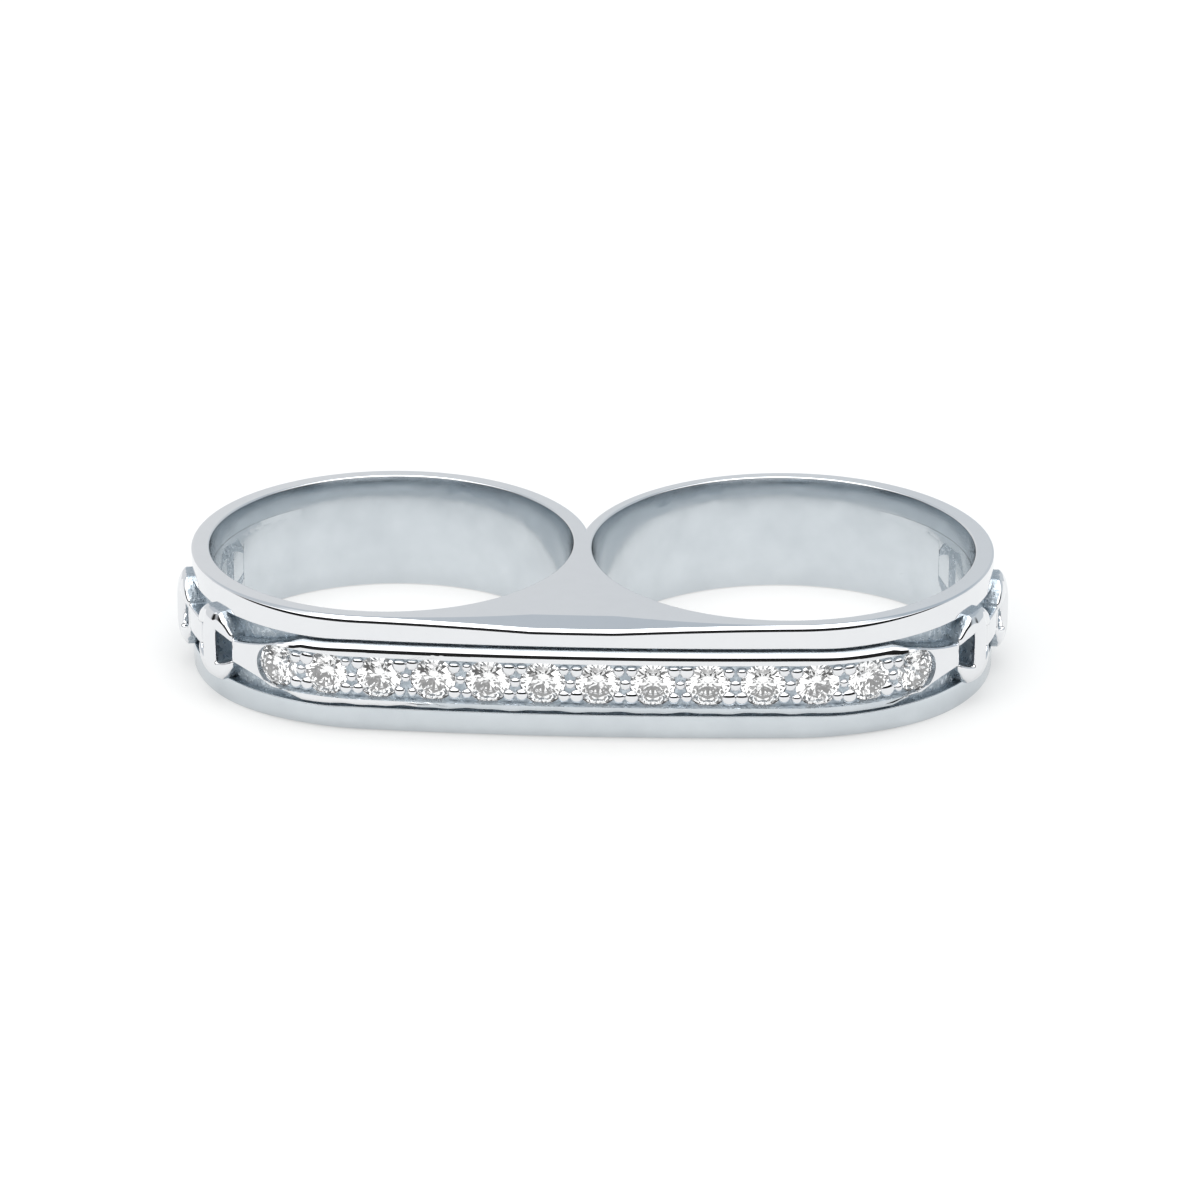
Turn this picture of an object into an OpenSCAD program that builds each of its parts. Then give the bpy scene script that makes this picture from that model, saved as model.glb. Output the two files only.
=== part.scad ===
// Knuckle ring for two fingers, lying on its side with the finger holes upright.
// X runs from the left hole to the right one, -Y is the jewelled front and Z is the band's height.
// Lengths are in millimetres and angles in degrees.

/* [Finger holes] */
// Diameter of the left finger hole
left_hole_d = 17.3; // [15.5:0.1:19]
// Diameter of the right finger hole
right_hole_d = 18.2; // [16.5:0.1:20]
// Metal left between the two holes
web_w = 1.1; // [0.9:0.1:2]
// Height of the band, along the finger
band_h = 5.8; // [5.4:0.1:7]
// Break of the hole's sharp edges
hole_break = 0.15; // [0.05:0.05:0.25]

/* [Outer wall] */
// Wall of the left loop, on average
left_wall = 0.95; // [0.8:0.05:1.4]
// Wall of the right loop, on average
right_wall = 0.85; // [0.8:0.05:1.4]
// How far the left loop's outside is shifted outwards, which thickens its side
left_side_shift = 0.02; // [0:0.01:0.2]
// How far the right loop's outside is shifted outwards, which thickens its side
right_side_shift = 0.15; // [0:0.01:0.2]
// How far both outsides are shifted to the front, which thins the back
front_shift = 0.1; // [0:0.01:0.2]
// Radius of the gently bowed front
front_r = 143; // [120:1:160]
// Break of the rails' outer edges
edge_break = 0.12; // [0.05:0.01:0.2]
// Depth of the soft slope on the front's top edge
top_slope_depth = 1.25; // [0.6:0.05:1.4]
// Drop of the soft slope on the front's top edge
top_slope_drop = 0.42; // [0.2:0.01:0.6]
// Depth of the rounding on the front's bottom edge
bottom_slope_depth = 0.6; // [0.2:0.05:1]
// Rise of the rounding on the front's bottom edge
bottom_slope_rise = 0.35; // [0.2:0.01:0.6]

/* [Rails and bar] */
// Height of the upper and of the lower rail
rail_h = 1.2; // [1:0.05:1.4]
// Width of the groove between a rail and the bar
groove_w = 0.12; // [0.08:0.01:0.2]
// Depth of that groove
groove_depth = 0.5; // [0.2:0.05:0.6]
// How far the bar stands proud of the rails
bar_proud = 0.35; // [0.2:0.01:0.5]
// How far the back ribbon stands proud of the rails
ribbon_proud = 0.1; // [0:0.01:0.2]
// Height of the bar's and the ribbon's narrow ends
end_h = 1.3; // [1:0.05:1.6]
// Length over which the bar's top and bottom edges draw in to its end
taper_len = 4.4; // [3:0.1:5]
// Length of the bar beyond the centre of its last stone
bar_end_len = 2.8; // [2:0.1:3.2]
// Height of the bar's sloping shoulder
shoulder_h = 0.28; // [0.1:0.01:0.4]
// Depth of that shoulder
shoulder_depth = 0.15; // [0.05:0.01:0.3]

/* [Chain] */
// Links at each side
link_count = 3; // [1:1:3]
// Length of a link along the wall
link_len = 3; // [2.6:0.1:3.4]
// Length of the short bar between two links
connector_len = 1.9; // [1.5:0.1:2.2]
// How far a link stands proud of the rails
link_proud = 0.75; // [0.5:0.05:0.9]
// How far the short bar between two links stands proud of the rails
connector_proud = 0.45; // [0.2:0.05:0.6]
// Width of the upright stud in the middle of a link
stud_w = 0.8; // [0.6:0.05:1]
// Height of a link's arms at the stud, measured along Z
arm_root_h = 0.65; // [0.5:0.05:0.8]
// Height of a link's arms at its ends, measured along Z
arm_tip_h = 0.27; // [0.2:0.01:0.4]

/* [Stones] */
// Number of stones in the row
stone_count = 13; // [7:2:13]
// Diameter of a stone
stone_d = 2.1; // [1.9:0.05:2.15]
// Distance between the centres of two stones, along the row
stone_pitch = 2.578; // [2.5:0.001:2.65]
// X of the middle stone, measured from the middle of the web
row_centre_x = 1.06; // [0:0.01:2]
// Width of the engraved channel that holds the stones
channel_w = 2.16; // [2.1:0.01:2.3]
// Depth of that channel
channel_depth = 0.25; // [0.1:0.01:0.35]
// Distance of the stones' tables below the bar's face
table_sink = 0.02; // [0:0.01:0.1]
// Gap between a stone and its seat
seat_gap = 0.02; // [0.01:0.005:0.03]
// Diameter of the small beads of metal that hold the stones
bead_d = 0.44; // [0.3:0.01:0.44]

/* [Hidden] */
$fa = 1;
$fs = 0.1;
front_fn = 720; // the bowed front's circle is so large that it needs more steps than the rest

function hundredths(v) = round(v * 100) / 100;
function two_digits(i) = i < 10 ? str("0", i) : str(i);
function stone_name(i) = str("stone_", two_digits(i));

METAL = "gainsboro";
DIAMOND = "azure";

overlap = 0.05; // run of one piece of metal into the next
beyond = 1; // run of a cutter past the metal
shoulder_lean = 0.04; // lean of the bar's side below its shoulder
run_in = 3; // turn by which the loops' walls run into the front
set_back = 0.01; // distance of the loops' outside behind the front's face where they meet

// Each part of the wall starts at its own depth inside the finger hole, which is drilled later. The loops'
// walls and the front reach past the band's top and bottom by their own run_out, and are cut flat later.
// A loop's section lies a hair inside the front's by its own shyness. So no two faces that meet are coplanar
rail_inside = 0.4;
bar_inside = 0.36;
ribbon_inside = 0.32;
link_inside = 0.28;
connector_inside = 0.24;
left_run_out = 0.3;
front_run_out = 0.4;
right_run_out = 0.5;
left_shyness = 0.006;
right_shyness = 0.012;

left_hole_r = left_hole_d / 2;
right_hole_r = right_hole_d / 2;
left_hole_x = -web_w / 2 - left_hole_r;
right_hole_x = web_w / 2 + right_hole_r;

// The outside is a circle round each loop and a large circle that runs round both of them at the front.
// The large circle's centre is rounded, and the loops' radii are worked out so that they all but touch it
left_x = left_hole_x - left_side_shift;
right_x = right_hole_x + right_side_shift;
loop_y = -front_shift;
left_reach_wanted = front_r - left_hole_r - left_wall;
right_reach_wanted = front_r - right_hole_r - right_wall;
front_x_wanted =
    (left_reach_wanted^2 - right_reach_wanted^2 + right_x^2 - left_x^2) / (2 * (right_x - left_x));
front_x = hundredths(front_x_wanted);
front_centre_y = hundredths(loop_y + sqrt(left_reach_wanted^2 - (front_x_wanted - left_x)^2));
front_y = front_centre_y - front_r;
left_reach = norm([front_x - left_x, front_centre_y - loop_y]);
right_reach = norm([front_x - right_x, front_centre_y - loop_y]);
left_r = front_r - left_reach - set_back;
right_r = front_r - right_reach - set_back;
// Directions are turned from -Y, positive towards +X. These two are where the front meets the loops
left_join = -asin((front_x - left_x) / left_reach);
right_join = asin((right_x - front_x) / right_reach);

mid_z = band_h / 2;
slot_h = band_h - 2 * rail_h;
half_slot = slot_h / 2;
half_bar = half_slot - groove_w;
half_end = end_h / 2;

// The box that holds the ring, whose bottom centre is the origin
low_x = left_x - left_r - link_proud;
high_x = right_x + right_r + link_proud;
low_y = front_y - bar_proud;
high_y = loop_y + max(left_r, right_r) + ribbon_proud;

// The stones' proportions follow a round brilliant's, as shares of its diameter
crown_h = 0.15 * stone_d;
girdle_h = 0.03 * stone_d;
pavilion_h = 0.42 * stone_d;
table_r = 0.29 * stone_d;
lower_half_r = 0.12 * stone_d;
stone_r = stone_d / 2;
// How far the middle of the girdle stands proud of the rails
girdle_proud = bar_proud - table_sink - crown_h - girdle_h / 2;

// The row runs at this height above the rails, and its lengths are measured from the foremost point
row_proud = bar_proud;
left_run = (front_r + row_proud) * (-left_join) * PI / 180;
right_run = (front_r + row_proud) * right_join * PI / 180;
row_middle = -(front_x - row_centre_x);
bar_half_len = (stone_count - 1) / 2 * stone_pitch + bar_end_len;

// Direction in which the wall faces at a length along the row
function direction_at(s) =
    s > right_run ? right_join + degrees_on(s - right_run, right_r + row_proud)
    : s < -left_run ? left_join - degrees_on(-left_run - s, left_r + row_proud)
    : degrees_on(s, front_r + row_proud);
function degrees_on(len, r) = len / r * 180 / PI;
function arc_x(direction) = direction > right_join ? right_x : direction < left_join ? left_x : front_x;
function arc_y(direction) = direction > right_join || direction < left_join ? loop_y : front_centre_y;
function arc_r(direction) = direction > right_join ? right_r : direction < left_join ? left_r : front_r;

left_bar_end = direction_at(row_middle - bar_half_len);
right_bar_end = direction_at(row_middle + bar_half_len);
left_link_turn = degrees_on(link_len, left_r + bar_proud);
right_link_turn = degrees_on(link_len, right_r + bar_proud);
left_gap_turn = degrees_on(connector_len, left_r + bar_proud);
right_gap_turn = degrees_on(connector_len, right_r + bar_proud);
left_ribbon_end = ribbon_end(-1, left_bar_end, left_link_turn, left_gap_turn);
right_ribbon_end = ribbon_end(1, right_bar_end, right_link_turn, right_gap_turn);
web_turn = 275; // turn from -Y, round the back and past the web, at which a loop's wall ends in the front

// Stands its children on the wall, facing outwards along -Y, with the rails' face at y = 0
module on_wall(direction) {
    translate([arc_x(direction), arc_y(direction), 0])
        rotate([0, 0, direction])
            translate([0, -arc_r(direction), 0])
                children();
}

// Turns a flat section from one direction to another. It is drawn with x as the distance from the axis
// and y as the height
module sweep(centre, from, to) {
    translate([centre.x, centre.y, 0])
        rotate([0, 0, from - 90])
            rotate_extrude(angle = to - from)
                children();
}

// An outline in the wall's plane, x along the wall and y from mid-height, pushed through the wall
module through_wall(direction, inwards, outwards) {
    on_wall(direction)
        translate([0, inwards, mid_z])
            rotate([90, 0, 0])
                linear_extrude(inwards + outwards)
                    children();
}

// Outline round the upper rail's outer corner, of which side -1 makes the lower one
function rail_corner(face, run_out, side) =
    [[face, mid_z + side * (mid_z - edge_break)],
     [face - edge_break - overlap, mid_z + side * (mid_z + overlap)],
     [face - edge_break - overlap, mid_z + side * (mid_z + run_out)]];

// Both rails' sections
module rail_sections(inner, face, run_out, shyness) {
    half_gap = half_slot + shyness;
    for (side = [-1, 1])
        polygon(concat([[inner, mid_z + side * half_gap], [face, mid_z + side * half_gap]],
                       rail_corner(face, run_out, side), [[inner, mid_z + side * (mid_z + run_out)]]));
}

// Half of the raised middle's outline, from its groove's floor over its shoulder to its flat face.
// side is -1 for the lower half and 1 for the upper half
function raised_edge(face, proud, shyness, side) =
    let (shoulder = min(proud, shoulder_depth), half_h = half_bar - shyness)
    [[face - groove_depth, mid_z + side * half_h], [face, mid_z + side * half_h],
     [face + proud - shoulder, mid_z + side * (half_h - shoulder_lean)],
     [face + proud, mid_z + side * (half_h - shoulder_h)]];
function reversed(list) = [for (i = [len(list) - 1 : -1 : 0]) list[i]];

// The raised middle alone, which runs a little way into the rails behind the grooves
module raised_section(inner, face, proud, shyness) {
    into_rail = half_slot + overlap + shyness;
    polygon(concat([[inner, mid_z - into_rail], [face - groove_depth, mid_z - into_rail]],
                   raised_edge(face, proud, shyness, -1), reversed(raised_edge(face, proud, shyness, 1)),
                   [[face - groove_depth, mid_z + into_rail], [inner, mid_z + into_rail]]));
}

// The whole wall: lower rail, groove, raised middle, groove and upper rail
module wall_section(inner, face, proud, run_out) {
    function half(side) =
        concat([[inner, mid_z + side * (mid_z + run_out)]], reversed(rail_corner(face, run_out, side)),
               [[face, mid_z + side * half_slot], [face - groove_depth, mid_z + side * half_slot]],
               raised_edge(face, proud, 0, side));
    polygon(concat(half(-1), reversed(half(1))));
}

// A slab of the chain with sloping shoulders, of a half height
module chain_section(inner, face, proud, half_h) {
    shoulder = 0.3;
    polygon([[inner, mid_z - half_h], [face + proud - shoulder, mid_z - half_h],
             [face + proud, mid_z - half_h + shoulder], [face + proud, mid_z + half_h - shoulder],
             [face + proud - shoulder, mid_z + half_h], [inner, mid_z + half_h]]);
}

// Rails all round, with the bar in front and the ribbon at the back between them
module loop_wall(side, centre, hole_r, r, join, bar_end, ribbon_end) {
    into_front = join - side * run_in;
    web_end = side * web_turn;
    shyness = side < 0 ? left_shyness : right_shyness;
    run_out = side < 0 ? left_run_out : right_run_out;
    sweep(centre, min(into_front, web_end), max(into_front, web_end))
        rail_sections(hole_r - rail_inside, r, run_out, shyness);
    sweep(centre, min(bar_end, into_front), max(bar_end, into_front))
        raised_section(hole_r - bar_inside, r, bar_proud, shyness);
    sweep(centre, min(ribbon_end, web_end), max(ribbon_end, web_end))
        raised_section(hole_r - ribbon_inside, r, ribbon_proud, shyness);
}

// Where the ribbon starts behind a loop's chain. side is -1 on the left and 1 on the right
function ribbon_end(side, bar_end, link_turn, gap_turn) =
    bar_end + side * (link_count * link_turn + (link_count - 1) * gap_turn);

// The solid front between the two loops, under the bowed face
module front_block() {
    back_y = 0.35;
    from_x = left_x + left_r * sin(left_join);
    to_x = right_x + right_r * sin(right_join);
    depth = back_y - front_y + beyond;
    intersection() {
        translate([from_x, back_y - depth, -beyond]) cube([to_x - from_x, depth, band_h + 2 * beyond]);
        sweep([front_x, front_centre_y], left_join - 1, right_join + 1, $fn = front_fn)
            wall_section(front_r - depth - beyond, front_r, bar_proud, front_run_out);
    }
}

// Outline of a link: a stud between the rails with arms that run together at both ends
module link_outline() {
    half_len = link_len / 2;
    half_stud = stud_w / 2;
    top = half_slot + overlap;
    root = half_slot - arm_root_h;
    tip = half_end + 0.07;
    inner_tip = tip - arm_tip_h;
    reach = half_len + overlap;
    past_end = half_len + beyond;
    difference() {
        polygon([[-reach, -tip], [-half_stud, -top], [half_stud, -top], [reach, -tip],
                 [reach, tip], [half_stud, top], [-half_stud, top], [-reach, tip]]);
        for (side = [-1, 1])
            polygon([[side * half_stud, -root], [side * half_len, -inner_tip], [side * past_end, -inner_tip],
                     [side * past_end, inner_tip], [side * half_len, inner_tip], [side * half_stud, root]]);
    }
}

// Chain of one loop, which starts at the bar's end. side is -1 on the left and 1 on the right
module chain(side, centre, hole_r, r, bar_end, link_turn, gap_turn) {
    into_link = 1.2;
    past_wall = 0.6;
    for (i = [0 : link_count - 1]) {
        start = bar_end + side * i * (link_turn + gap_turn);
        middle = start + side * link_turn / 2;
        intersection() {
            through_wall(middle, r - hole_r + past_wall, link_proud + beyond) link_outline();
            sweep(centre, middle - link_turn, middle + link_turn)
                chain_section(hole_r - link_inside, r, link_proud, half_slot + overlap);
        }
        if (i < link_count - 1) {
            from = start + side * (link_turn - into_link);
            to = start + side * (link_turn + gap_turn + into_link);
            sweep(centre, min(from, to), max(from, to))
                chain_section(hole_r - connector_inside, r, connector_proud, half_end);
        }
    }
}

// Openings above and below a tapered end of the bar or the ribbon. side is the way in which the end points
module end_openings(direction, side, turn) {
    into_rail = half_slot + 0.01;
    inwards = 2.2;
    outwards = 1.2;
    bent = half_end + 0.15 * (half_slot - half_end);
    tip = side * taper_len / 2;
    past_tip = side * (taper_len / 2 + beyond);
    for (up = [-1, 1])
        through_wall(direction - side * turn / 2, inwards, outwards)
            polygon([[past_tip, up * half_end], [tip, up * half_end], [tip / 2, up * bent],
                     [-tip, up * into_rail], [past_tip, up * into_rail]]);
}

// A soft corner's cutter, drawn from the sharp corner: two chords, the outer of which runs on past the face
module slope_section(depth, drop, away) {
    past_face = 0.3;
    bend = 0.45 * depth;
    bend_drop = 0.3 * drop;
    steepness = (drop - bend_drop) / bend;
    polygon([[-depth - overlap, away], [-depth, 0], [-bend, bend_drop],
             [past_face, drop + steepness * past_face], [past_face, away]]);
}

// The soft slopes that break the front's top and bottom edges
module front_slopes() {
    turn = 8;
    sweep([front_x, front_centre_y], -turn, turn, $fn = front_fn) {
        translate([front_r, band_h]) slope_section(top_slope_depth, -top_slope_drop, beyond);
        translate([front_r, 0]) slope_section(bottom_slope_depth, bottom_slope_rise, -beyond);
    }
}

module finger_hole(x, r) {
    wide_r = r + hole_break + beyond;
    translate([x, 0, 0])
        rotate_extrude()
            polygon([[0, -beyond], [wide_r, -beyond], [r, hole_break], [r, band_h - hole_break],
                     [wide_r, band_h + beyond], [0, band_h + beyond]]);
}

// The engraved channel follows the bar and ends round the two last stones
module channel() {
    first = direction_at(row_middle - (stone_count - 1) / 2 * stone_pitch);
    last = direction_at(row_middle + (stone_count - 1) / 2 * stone_pitch);
    floor_proud = bar_proud - channel_depth;
    module slot(centre, r, from, to)
        sweep(centre, from, to)
            translate([r + floor_proud, mid_z - channel_w / 2]) square([channel_depth + beyond, channel_w]);
    extra = 0.5; // turn by which each slot runs into the next
    slot([left_x, loop_y], left_r, first, left_join + 2 * extra);
    slot([front_x, front_centre_y], front_r, left_join - extra, right_join + extra, $fn = front_fn);
    slot([right_x, loop_y], right_r, right_join - 2 * extra, last);
    for (end = [first, last])
        on_wall(end)
            translate([0, -floor_proud, mid_z])
                rotate([90, 0, 0]) cylinder(h = channel_depth + beyond, r = channel_w / 2);
}

// A drilled seat: straight down to the girdle, then a cone for the pavilion, which stops short of the hole
module seat() {
    seat_r = stone_r + seat_gap;
    seat_h = pavilion_h + seat_gap / 2;
    drill_tip_r = 0.05;
    translate([0, 0, -girdle_h / 2 - seat_gap]) cylinder(h = crown_h + beyond, r = seat_r);
    translate([0, 0, -girdle_h / 2 - seat_gap - seat_h]) cylinder(h = seat_h, r1 = drill_tip_r, r2 = seat_r);
}

// Stands its children in the seat of a stone, with z pointing out of the wall from the middle of the girdle
module at_stone(i) {
    on_wall(direction_at(row_middle + (i - (stone_count + 1) / 2) * stone_pitch))
        translate([0, -girdle_proud, mid_z])
            rotate([90, 0, 0])
                children();
}

// A raised grain of metal with a broken edge, whose top is at z = 0
module bead(d) {
    depth = channel_depth + 2 * overlap;
    broken_h = 0.3 * d;
    top_r = 0.26 * d;
    rotate_extrude()
        polygon([[0, -depth], [d / 2, -depth], [d / 2, -broken_h], [top_r, 0], [0, 0]]);
}

// Five beads fill each gap between two stones
module beads(i) {
    side_gap = 0.02;
    edge_gap = 0.06;
    side_step = bead_d / 2 + side_gap;
    edge_step = channel_w / 2 - bead_d / 2 - edge_gap;
    middle_bead_d = bead_d - 0.08;
    on_wall(direction_at(row_middle + (i - stone_count / 2) * stone_pitch))
        translate([0, table_sink - bar_proud, mid_z])
            rotate([90, 0, 0]) {
                bead(middle_bead_d);
                for (x = [-side_step, side_step], y = [-edge_step, edge_step])
                    translate([x, y, 0]) bead(bead_d);
            }
}

// The ring is cut in steps, one kind of cutter at a time
module uncut_ring() {
    union() {
        loop_wall(-1, [left_x, loop_y], left_hole_r, left_r, left_join, left_bar_end, left_ribbon_end);
        front_block();
    }
    loop_wall(1, [right_x, loop_y], right_hole_r, right_r, right_join, right_bar_end, right_ribbon_end);
}

module flat_ring() {
    width = high_x - low_x + 2 * beyond;
    depth = high_y - low_y + 2 * beyond;
    difference() {
        uncut_ring();
        for (z = [-beyond, band_h])
            translate([low_x - beyond, low_y - beyond, z]) cube([width, depth, beyond]);
    }
}

module bored_ring() {
    difference() {
        flat_ring();
        finger_hole(left_hole_x, left_hole_r);
        finger_hole(right_hole_x, right_hole_r);
    }
}

module opened_ring() {
    left_taper = degrees_on(taper_len, left_r);
    right_taper = degrees_on(taper_len, right_r);
    difference() {
        bored_ring();
        end_openings(left_bar_end, -1, left_taper);
        end_openings(left_ribbon_end, 1, left_taper);
        end_openings(right_bar_end, 1, right_taper);
        end_openings(right_ribbon_end, -1, right_taper);
    }
}

module channelled_ring() {
    difference() {
        difference() {
            opened_ring();
            front_slopes();
        }
        channel();
    }
}

module seated_ring() {
    difference() {
        channelled_ring();
        for (i = [1 : stone_count]) at_stone(i) seat();
    }
}

module ring_body() {
    color(METAL)
        translate([-(low_x + high_x) / 2, -(low_y + high_y) / 2, 0]) {
            union() {
                union() {
                    seated_ring();
                    difference() {
                        chain(-1, [left_x, loop_y], left_hole_r, left_r, left_bar_end,
                              left_link_turn, left_gap_turn);
                        finger_hole(left_hole_x, left_hole_r);
                    }
                }
                difference() {
                    chain(1, [right_x, loop_y], right_hole_r, right_r, right_bar_end,
                          right_link_turn, right_gap_turn);
                    finger_hole(right_hole_x, right_hole_r);
                }
            }
            for (i = [1 : stone_count - 1]) beads(i);
        }
}

// Rings of points at a height, every turn degrees from a first angle
function ring_points(count, r, z, first) =
    [for (i = [0 : count - 1]) [r * cos(first + i * 360 / count), r * sin(first + i * 360 / count), z]];

// A round brilliant: table, stars, kites, upper halves, girdle, lower halves and pavilion mains
module brilliant() {
    g = girdle_h / 2;
    half_turn = 22.5;
    star_r = (table_r + stone_r) / 2;
    star_z = g + crown_h * (1 - (star_r * cos(half_turn) - table_r) / (stone_r - table_r));
    lower_z = -g - pavilion_h * (1 - lower_half_r * cos(half_turn) / stone_r);
    points = concat(ring_points(8, table_r, g + crown_h, 0), ring_points(8, star_r, star_z, half_turn),
                    ring_points(16, stone_r, g, 0), ring_points(16, stone_r, -g, 0),
                    ring_points(8, lower_half_r, lower_z, half_turn), [[0, 0, -g - pavilion_h]]);
    table = 0;
    star = 8;
    upper = 16;
    lower = 32;
    foot = 48;
    culet = 56;
    function next(i, n) = (i + 1) % n;
    faces = concat(
        [[for (i = [7 : -1 : 0]) table + i]],
        [for (i = [0 : 7]) [table + i, table + next(i, 8), star + i]],
        [for (i = [0 : 7]) [table + i, star + i, upper + 2 * i, star + (i + 7) % 8]],
        [for (i = [0 : 7]) [star + i, upper + 2 * i + 1, upper + 2 * i]],
        [for (i = [0 : 7]) [star + i, upper + next(2 * i + 1, 16), upper + 2 * i + 1]],
        [for (i = [0 : 15]) [upper + i, upper + next(i, 16), lower + next(i, 16), lower + i]],
        [for (i = [0 : 7]) [lower + 2 * i, lower + 2 * i + 1, foot + i]],
        [for (i = [0 : 7]) [lower + 2 * i + 1, lower + next(2 * i + 1, 16), foot + i]],
        [for (i = [0 : 7]) [lower + 2 * i, foot + i, culet, foot + (i + 7) % 8]]);
    polyhedron(points, faces);
}

module stone(i) {
    color(DIAMOND)
        translate([-(low_x + high_x) / 2, -(low_y + high_y) / 2, 0])
            at_stone(i) brilliant();
}

ring_body();
for (i = [1 : stone_count])
    stone(i);
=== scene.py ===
import math

import bmesh
import bpy
from mathutils import Matrix, Vector, noise


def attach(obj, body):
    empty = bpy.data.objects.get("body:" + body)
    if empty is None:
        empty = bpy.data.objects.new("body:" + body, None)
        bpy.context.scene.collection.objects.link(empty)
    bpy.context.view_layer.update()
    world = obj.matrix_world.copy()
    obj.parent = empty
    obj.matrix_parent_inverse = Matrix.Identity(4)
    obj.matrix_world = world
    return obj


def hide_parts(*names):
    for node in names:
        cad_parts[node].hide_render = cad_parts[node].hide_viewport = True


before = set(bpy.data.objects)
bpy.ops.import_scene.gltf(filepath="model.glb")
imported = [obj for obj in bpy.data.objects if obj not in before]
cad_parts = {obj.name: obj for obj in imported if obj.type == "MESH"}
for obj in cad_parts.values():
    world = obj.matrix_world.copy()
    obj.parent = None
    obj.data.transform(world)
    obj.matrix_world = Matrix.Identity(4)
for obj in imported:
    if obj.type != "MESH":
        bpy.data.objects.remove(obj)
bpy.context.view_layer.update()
print("frame loaded")

# Sizes below are in millimetres, in the part's own frame, and become metres when a mesh is finished.
# A turn is measured from -Y, where the stones face, and is positive towards +X. Each loop has the arc of its
# outer wall, its finger hole (x, y, radius), the turns where the front joins it and where its bar and ribbon
# end, and the slits left open inside, above and below those ends, or None where it is as open as outside
toMetres = 0.001
plan = {
    "left": {"x": -9.684892, "y": 0.223724, "r": 9.60277, "hole": (-9.664892, 0.323724, 8.65), "side": -1,
             "join": math.radians(-5.14388), "barEnd": math.radians(-45.9335),
             "ribbonEnd": math.radians(-119.694), "slits": (0.1, 0.1)},
    "right": {"x": 9.335108, "y": 0.223724, "r": 9.95255, "hole": (9.185108, 0.323724, 9.1), "side": 1,
              "join": math.radians(3.04176), "barEnd": math.radians(53.0183),
              "ribbonEnd": math.radians(124.272), "slits": (0.1, None)},
    "front": {"x": 2.275108, "y": 133.083724, "r": 143.0},
}
heights = {"band": 5.8, "middle": 2.9, "halfSlot": 1.7, "halfBar": 1.58, "halfEnd": 0.65, "groove": 0.5,
           "lift": 0.08, "liftTurn": 14.0}
middle = heights["middle"]

# How finely the shapes are drawn: steps of turn and of length, and how many there are in a tapered end
steps = {"turn": math.radians(1.5), "front": math.radians(0.14), "rim": math.radians(17), "bore": 0.42,
         "liner": math.radians(1.1), "linerUp": 0.15, "row": 0.2, "ends": 16, "cap": math.pi / 8,
         "capEdge": 0.2, "channelEnd": 0.13, "seat": math.radians(5)}
# The places of the three finishes in the metal's list of materials. The buffed one's darker tint is painted
# shade
shine, buffShade, cast = 0, 1, 2


def srgb(code):
    parts = [int(code[i:i + 2], 16) / 255 for i in (1, 3, 5)]
    return tuple(c / 12.92 if c <= 0.04045 else ((c + 0.055) / 1.055) ** 2.4 for c in parts) + (1.0,)


def addNode(tree, kind, values=None, links=None):
    node = tree.nodes.new("ShaderNode" + kind)
    for name, value in (values or {}).items():
        if name in node.inputs:
            node.inputs[name].default_value = value
        else:
            setattr(node, name, value)
    for name, source in (links or {}).items():
        tree.links.new(source, node.inputs[name])
    return node


# A metal's look: soft waves left by the polishing wheel bend its mirror images, and a haze varies its gloss
def makeGold(name, settings):
    material = bpy.data.materials.new(name)
    material.use_nodes = True
    tree = material.node_tree
    shader = tree.nodes["Principled BSDF"]
    shader.inputs["Metallic"].default_value = 1.0
    place = addNode(tree, "TexCoord").outputs["Object"]
    wave = addNode(tree, "TexNoise", {"Scale": 1000 / settings["waveMm"], "Detail": settings["waveDetail"]},
                   {"Vector": place}).outputs["Fac"]
    haze = addNode(tree, "TexNoise", {"Scale": 1000 / settings["hazeMm"], "Detail": 3.0},
                   {"Vector": place}).outputs["Fac"]
    tint = addNode(tree, "Mix", {"data_type": "RGBA", "A": srgb(settings["dark"]),
                                 "B": srgb(settings["light"])}, {"Factor": haze})
    gloss = addNode(tree, "MapRange", {"From Min": settings["hazeLow"], "From Max": settings["hazeHigh"],
                                       "To Min": settings["roughHigh"], "To Max": settings["roughLow"]},
                    {"Value": haze})
    bump = addNode(tree, "Bump", {"Strength": 1.0, "Distance": settings["waveDepthMm"] * toMetres},
                   {"Height": wave})
    tree.links.new(tint.outputs["Result"], shader.inputs["Base Color"])
    tree.links.new(gloss.outputs["Result"], shader.inputs["Roughness"])
    tree.links.new(bump.outputs["Normal"], shader.inputs["Normal"])
    return material


# Mirror-polished 14 carat white gold with its usual rhodium plating, which is bright and a little cool
polished = makeGold("polished white gold", {
    "dark": "#e3e4e6", "light": "#e7e8ea", "waveMm": 4.0, "waveDetail": 1.0, "waveDepthMm": 0.02,
    "hazeMm": 0.8, "hazeLow": 0.3, "hazeHigh": 0.7, "roughLow": 0.03, "roughHigh": 0.07})
# The finger holes' walls and the lower rail are only buffed, so their images are soft. Their darker, greyer
# tint is painted shade, standing in for the shaded table that they mirror
buffedShaded = makeGold("buffed white gold", {
    "dark": "#c4cacf", "light": "#d4dade", "waveMm": 3.0, "waveDetail": 2.0, "waveDepthMm": 0.03,
    "hazeMm": 1.6, "hazeLow": 0.3, "hazeHigh": 0.7, "roughLow": 0.1, "roughHigh": 0.2})
# As it comes out of the mould: slate grey and dull where no wheel reaches, with bright glints in its grain.
# The grain is drawn coarser than it is, or it wouldn't show
asCast = makeGold("cast white gold", {
    "dark": "#939fa9", "light": "#ced6dc", "waveMm": 0.16, "waveDetail": 3.0, "waveDepthMm": 0.04,
    "hazeMm": 0.22, "hazeLow": 0.5, "hazeHigh": 0.66, "roughLow": 0.12, "roughHigh": 0.45})


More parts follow.
